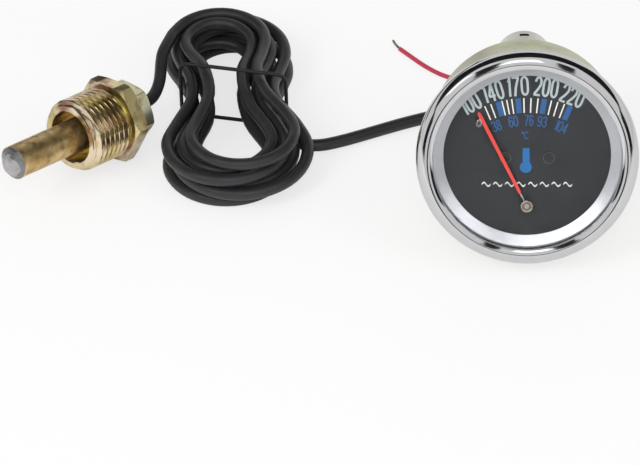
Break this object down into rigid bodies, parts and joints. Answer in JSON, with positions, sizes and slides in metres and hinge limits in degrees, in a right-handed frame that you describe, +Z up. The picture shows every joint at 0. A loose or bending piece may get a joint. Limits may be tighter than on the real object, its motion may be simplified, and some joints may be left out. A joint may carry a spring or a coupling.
{
  "type": "water temperature gauge",
  "caption": "Round 52 mm panel gauge with chrome bezel, black dial, lamp holder, hanked capillary cord and a threaded brass sensing probe.",
  "frame": {"origin": "centre of the gauge where its barrel meets the bezel's rear face", "axes": "+X to the right as the dial is read, +Y away from the reader, +Z up from the surface that the gauge rests on; the gauge leans back 20.6 degrees"},
  "size_m": [0.1747, 0.1092, 0.0613],
  "materials": {
    "polished_chrome": "polished rolled bezel",
    "lens_glass": "clear flat lens",
    "black_rubber": "seal and cord tie",
    "satin_metal": "satin reflector ring",
    "plated_steel": "pale yellow zinc plated steel",
    "dial_black": "matte charcoal black dial with plain printed scale",
    "dark_steel": "blackened screws",
    "turned_brass": "plain turned brass",
    "bronze": "phosphor bronze pressure tube",
    "bright_steel": "bright steel",
    "pointer_red": "red painted blade",
    "lamp_shell": "bright plated lamp holder",
    "fibre": "pressed fibre insulator",
    "lamp_glass_clear": "lamp glass",
    "iridescent_zinc": "iridescent yellow zinc",
    "aged_brass": "tarnished brass bulb",
    "solder": "rough solder",
    "cord_black": "black vinyl sheath",
    "wire_red": "pinkish red wire insulation",
    "tinned_copper": "tinned copper strands"
  },
  "bodies": {
    "gauge": {"bezel": "polished_chrome", "lens": "lens_glass", "lens_seal": "black_rubber", "reflector_ring": "satin_metal", "case": "plated_steel", "dial": "dial_black", "dial_screws": "dark_steel", "dial_posts": "turned_brass", "stop_pin": "bright_steel", "movement_base": "turned_brass", "rear_plate": "turned_brass", "front_plate": "turned_brass", "plate_pillars": "turned_brass", "socket_block": "turned_brass", "pressure_tube": "bronze", "tube_end": "turned_brass", "lamp_holder": "lamp_shell", "lamp_insulator": "fibre", "lamp_contact": "bright_steel", "lamp_cap": "turned_brass", "lamp_glass": "lamp_glass_clear", "gland_washer": "bright_steel", "gland_nut": "turned_brass", "gland_body": "turned_brass", "mounting_studs": "bright_steel", "stud_washers": "bright_steel", "sensing_bulb": "aged_brass", "bulb_tip": "solder", "bulb_collar": "turned_brass", "cord_lead": "cord_black", "cord_hank": "cord_black", "cord_tail": "cord_black", "cord_tie": "black_rubber", "lamp_wire": "wire_red", "wire_strands": "tinned_copper"},
    "pointer_arm": {"pointer": "pointer_red", "pointer_hub": "turned_brass", "spindle": "bright_steel", "crank": "turned_brass"},
    "pointer_link": {"link": "turned_brass"},
    "left_nut": {"stud_nut_left": "turned_brass"},
    "right_nut": {"stud_nut_right": "turned_brass"},
    "adapter_body": {"adapter": "iridescent_zinc"},
    "nut_body": {"compression_nut": "iridescent_zinc"}
  },
  "joints": [
    {"name": "pointer_swing", "type": "hinge", "parent": "gauge", "child": "pointer_arm", "pos_m": [0, -0.00493, -0.01311], "axis": [0, -0.9361, 0.3518], "range_deg": [-53, 0], "stiffness_Nm_per_rad": 0.0005},
    {"name": "link_turn", "type": "hinge", "parent": "pointer_arm", "child": "pointer_link", "pos_m": [0.00134, 0.00349, -0.01914], "axis": [0, -0.9361, 0.3518], "range_deg": [0, 53]},
    {"name": "left_nut_spin", "type": "hinge", "parent": "gauge", "child": "left_nut", "pos_m": [-0.015, 0.02326, -0.01088], "axis": [0, -0.9361, 0.3518], "continuous": true},
    {"name": "right_nut_spin", "type": "hinge", "parent": "gauge", "child": "right_nut", "pos_m": [0.015, 0.02326, -0.01088], "axis": [0, -0.9361, 0.3518], "continuous": true},
    {"name": "adapter_spin", "type": "hinge", "parent": "gauge", "child": "adapter_body", "pos_m": [-0.1175, 0.0394, -0.0195], "axis": [0.6453, 0.7423, -0.1805], "continuous": true},
    {"name": "nut_spin", "type": "hinge", "parent": "adapter_body", "child": "nut_body", "pos_m": [-0.11363, 0.04385, -0.02058], "axis": [0.6453, 0.7423, -0.1805], "continuous": true}
  ],
  "couplings": [
    {"joint": "link_turn", "follows": "pointer_swing", "ratio": -1}
  ]
}
